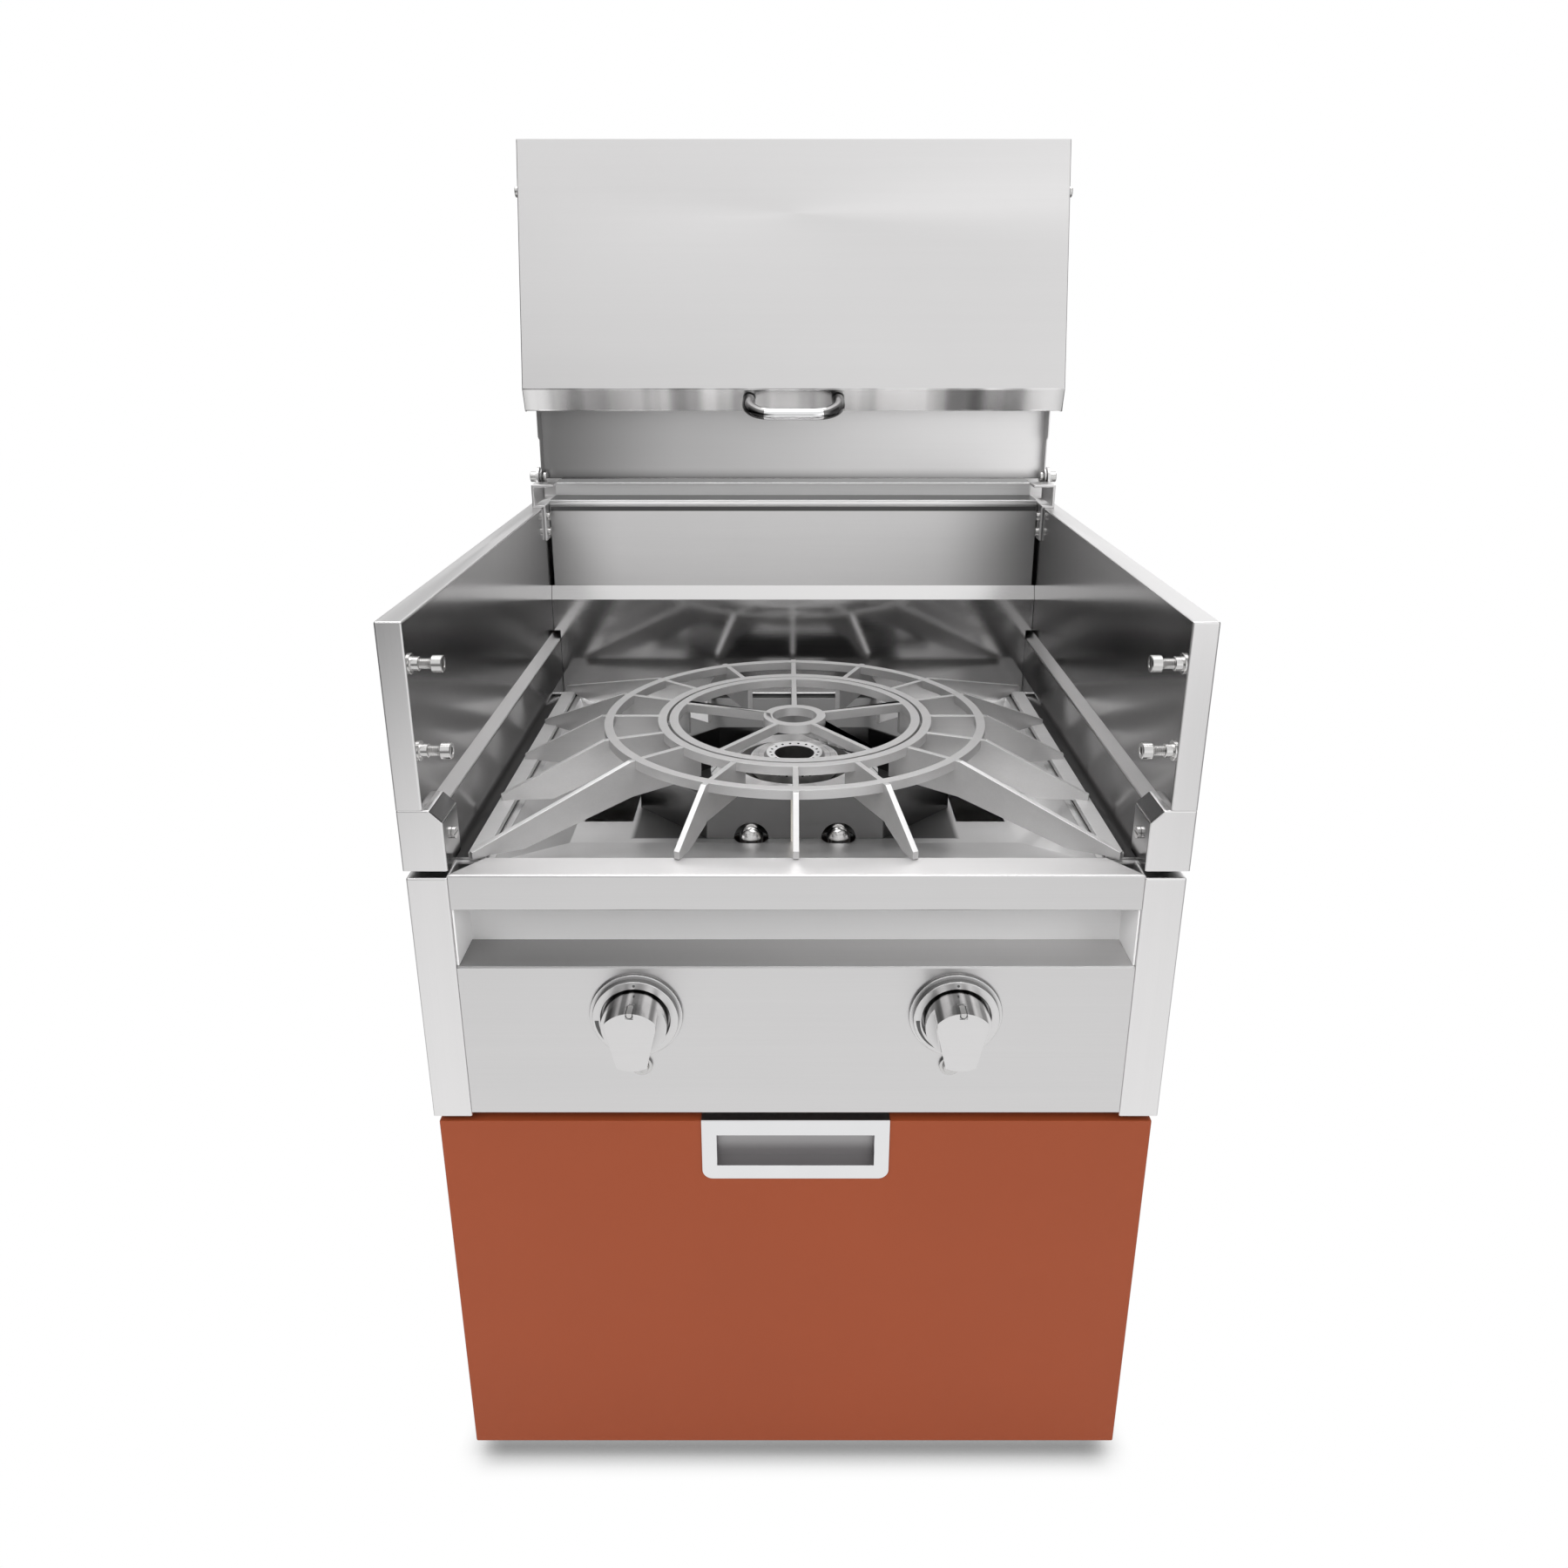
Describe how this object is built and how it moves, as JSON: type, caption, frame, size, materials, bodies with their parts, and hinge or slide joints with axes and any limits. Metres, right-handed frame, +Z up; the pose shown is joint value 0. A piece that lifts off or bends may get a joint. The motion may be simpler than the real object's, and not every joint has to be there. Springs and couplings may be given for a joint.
{
  "type": "power burner",
  "caption": "Outdoor power burner on a cabinet: wok grate over ring burners, knobs, wind panels, a folding cover and a pull-out drawer for a gas cylinder.",
  "frame": {"origin": "centre of the part's plan at ground level, under the levelling feet", "axes": "+X to the right seen from the front, -Y to the front where the knobs are, +Z up"},
  "size_m": [0.614, 0.639, 1.2145],
  "materials": {
    "stainless": "horizontal brushed grain",
    "orange_paint": "satin powder coat",
    "foot_plastic": "matte",
    "bumper_rubber": "matte",
    "polished_chrome": "polished",
    "runner_steel": "bright zinc",
    "valve_brass": "machined",
    "grate_steel": "ground stainless rod and plate",
    "burner_steel": "turned",
    "burner_iron": "as cast",
    "insulator": "glazed insulator",
    "control_metal": "satin"
  },
  "bodies": {
    "frame": {"levelling_feet": "foot_plastic", "cabinet_floor": "stainless", "cabinet_side_left": "orange_paint", "cabinet_side_right": "orange_paint", "cabinet_back": "stainless", "cabinet_top_frame": "stainless", "outer_runners": "runner_steel", "chassis_floor": "stainless", "chassis_side_left": "stainless", "chassis_side_right": "stainless", "rear_panel": "stainless", "post_left": "stainless", "post_right": "stainless", "front_rail": "stainless", "recess_panel": "stainless", "control_panel": "stainless", "knob_bezels": "control_metal", "button_bezels": "control_metal", "head_side_left": "stainless", "head_side_right": "stainless", "corner_block_left": "stainless", "corner_block_right": "stainless", "wind_panel_left": "stainless", "wind_panel_right": "stainless", "guard_screws": "stainless", "back_wall_lower": "stainless", "back_wall_upper": "stainless", "back_top_trim": "stainless", "hinge_bracket_left": "stainless", "hinge_bracket_right": "stainless", "bracket_screws": "stainless", "lower_pivot_bolts": "stainless", "burner_pan": "stainless", "burner_box": "stainless", "burner_base": "burner_iron", "outer_burner": "burner_steel", "inner_burner": "burner_steel", "spark_electrode": "insulator", "gas_manifold": "stainless", "valve_bodies": "valve_brass", "gas_inlet": "valve_brass"},
    "drawer": {"drawer_front": "orange_paint", "flush_pull": "polished_chrome", "drawer_liner": "stainless", "cylinder_tray": "stainless", "inner_runners": "runner_steel"},
    "runner_links": {"middle_runners": "runner_steel"},
    "cover_rear": {"lid_rear_leaf": "stainless", "upper_pivot_bolts": "stainless"},
    "cover_front": {"lid_front_leaf": "stainless", "lid_bumpers": "bumper_rubber", "lid_handle": "polished_chrome"},
    "left_stem": {"valve_stem_left": "valve_brass"},
    "right_stem": {"valve_stem_right": "valve_brass"},
    "left_knob": {"knob_left": "control_metal"},
    "right_knob": {"knob_right": "control_metal"},
    "left_button": {"button_left": "control_metal"},
    "right_button": {"button_right": "control_metal"},
    "grate": {"wok_grate": "grate_steel"},
    "grate_centre": {"centre_grate": "grate_steel"}
  },
  "joints": [
    {"name": "drawer_slide", "type": "slide", "parent": "frame", "child": "drawer", "axis": [0, -1, 0], "range_m": [0, 0.4]},
    {"name": "runner_slide", "type": "slide", "parent": "frame", "child": "runner_links", "axis": [0, -1, 0], "range_m": [0, 0.2]},
    {"name": "cover_rear_hinge", "type": "hinge", "parent": "frame", "child": "cover_rear", "pos_m": [0, 0.2595, 0.856], "axis": [1, 0, 0], "range_deg": [0, 92]},
    {"name": "cover_front_hinge", "type": "hinge", "parent": "cover_rear", "child": "cover_front", "pos_m": [0, 0.27021, 1.16281], "axis": [1, 0, 0], "range_deg": [-169.6, 0]},
    {"name": "left_knob_push", "type": "slide", "parent": "frame", "child": "left_stem", "axis": [0, 1, 0], "range_m": [0, 0.003], "stiffness_N_per_m": 1500, "springref_m": -0.002},
    {"name": "left_knob_turn", "type": "hinge", "parent": "left_stem", "child": "left_knob", "pos_m": [-0.13, -0.2805, 0.4952], "axis": [0, 1, 0], "range_deg": [0, 210]},
    {"name": "left_button_push", "type": "slide", "parent": "frame", "child": "left_button", "axis": [0, 1, 0], "range_m": [0, 0.003], "stiffness_N_per_m": 1000, "springref_m": -0.002},
    {"name": "right_knob_push", "type": "slide", "parent": "frame", "child": "right_stem", "axis": [0, 1, 0], "range_m": [0, 0.003], "stiffness_N_per_m": 1500, "springref_m": -0.002},
    {"name": "right_knob_turn", "type": "hinge", "parent": "right_stem", "child": "right_knob", "pos_m": [0.13, -0.2805, 0.4952], "axis": [0, 1, 0], "range_deg": [0, 210]},
    {"name": "right_button_push", "type": "slide", "parent": "frame", "child": "right_button", "axis": [0, 1, 0], "range_m": [0, 0.003], "stiffness_N_per_m": 1000, "springref_m": -0.002},
    {"name": "grate_lift", "type": "slide", "parent": "frame", "child": "grate", "axis": [0, 0, 1], "range_m": [0, 0.1]},
    {"name": "grate_centre_lift", "type": "slide", "parent": "grate", "child": "grate_centre", "axis": [0, 0, 1], "range_m": [0, 0.06]}
  ],
  "couplings": [
    {"joint": "runner_slide", "follows": "drawer_slide", "ratio": 0.5},
    {"joint": "cover_front_hinge", "follows": "cover_rear_hinge", "ratio": -1.8435}
  ]
}
